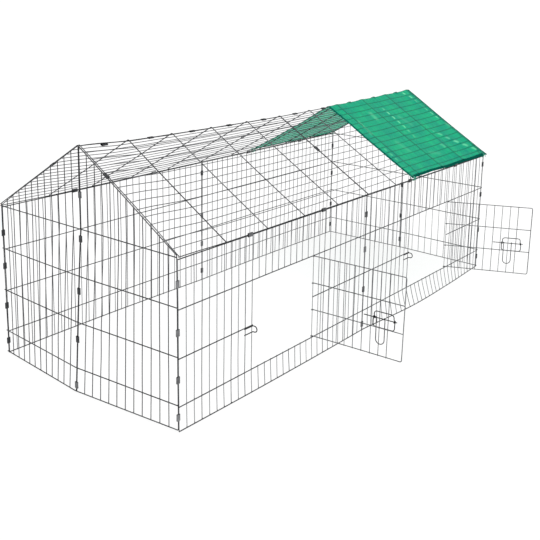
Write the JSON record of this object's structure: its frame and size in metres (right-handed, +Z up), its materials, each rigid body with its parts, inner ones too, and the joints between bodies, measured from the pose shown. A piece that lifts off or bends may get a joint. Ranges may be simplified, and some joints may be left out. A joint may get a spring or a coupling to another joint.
{
  "type": "outdoor rabbit run",
  "caption": "Outdoor run for rabbits: clipped welded-wire panels under a gable roof, hinged front doors with sliding bolts, and a green shade sheet.",
  "frame": {"origin": "centre of the footprint, on the ground", "axes": "+X along the ridge towards the shaded end, +Y towards the back wall (the doors are on the -Y side), +Z up"},
  "size_m": [1.8152, 1.0862, 0.7264],
  "materials": {
    "zinc_wire": "bright galvanised wire, slightly dull",
    "latch_wire": "galvanised wire, a little darker",
    "clip_metal": "dull grey rolled sheet",
    "shade_sheet": "smooth coated sheet with a soft shine, hemmed",
    "shade_tie": "thin woven cord"
  },
  "bodies": {
    "run": {"front_left_rails": "zinc_wire", "front_right_rails": "zinc_wire", "back_left_rails": "zinc_wire", "back_right_rails": "zinc_wire", "left_end_front_rails": "zinc_wire", "left_end_back_rails": "zinc_wire", "right_end_front_rails": "zinc_wire", "right_end_back_rails": "zinc_wire", "front_left_bars": "zinc_wire", "front_right_bars": "zinc_wire", "back_left_bars": "zinc_wire", "back_right_bars": "zinc_wire", "left_end_front_bars": "zinc_wire", "left_end_back_bars": "zinc_wire", "right_end_front_bars": "zinc_wire", "right_end_back_bars": "zinc_wire", "roof_front_left_rafters": "zinc_wire", "roof_front_right_rafters": "zinc_wire", "roof_back_left_rafters": "zinc_wire", "roof_back_right_rafters": "zinc_wire", "roof_front_left_purlins": "zinc_wire", "roof_front_right_purlins": "zinc_wire", "roof_back_left_purlins": "zinc_wire", "roof_back_right_purlins": "zinc_wire", "near_catch": "latch_wire", "far_catch": "latch_wire", "ridge_clips": "clip_metal", "front_eave_clips": "clip_metal", "back_eave_clips": "clip_metal", "gable_clips": "clip_metal", "mid_roof_clips": "clip_metal", "corner_clips": "clip_metal", "front_joint_clips": "clip_metal", "back_joint_clips": "clip_metal", "left_post_clips": "clip_metal", "right_post_clips": "clip_metal", "shade_sheet": "shade_sheet", "shade_ties": "shade_tie"},
    "near_door": {"near_door_frame": "zinc_wire", "near_door_rails": "zinc_wire", "near_door_bars": "zinc_wire", "near_latch_bracket": "latch_wire"},
    "near_bolt": {"near_bolt": "latch_wire"},
    "far_door": {"far_door_frame": "zinc_wire", "far_door_rails": "zinc_wire", "far_door_bars": "zinc_wire", "far_latch_bracket": "latch_wire"},
    "far_bolt": {"far_bolt": "latch_wire"}
  },
  "joints": [
    {"name": "near_door_hinge", "type": "hinge", "parent": "run", "child": "near_door", "pos_m": [-0.29918, -0.3778, 0.2], "axis": [0, 0, 1], "range_deg": [-92.4, 75]},
    {"name": "near_bolt_slide", "type": "slide", "parent": "near_door", "child": "near_bolt", "axis": [0.0523, -0.9986, 0], "range_m": [-0.002, 0.029]},
    {"name": "far_door_hinge", "type": "hinge", "parent": "run", "child": "far_door", "pos_m": [0.59702, -0.3778, 0.2], "axis": [0, 0, 1], "range_deg": [-113.4, 54]},
    {"name": "far_bolt_slide", "type": "slide", "parent": "far_door", "child": "far_bolt", "axis": [0.4067, -0.9135, 0], "range_m": [-0.002, 0.029]}
  ]
}
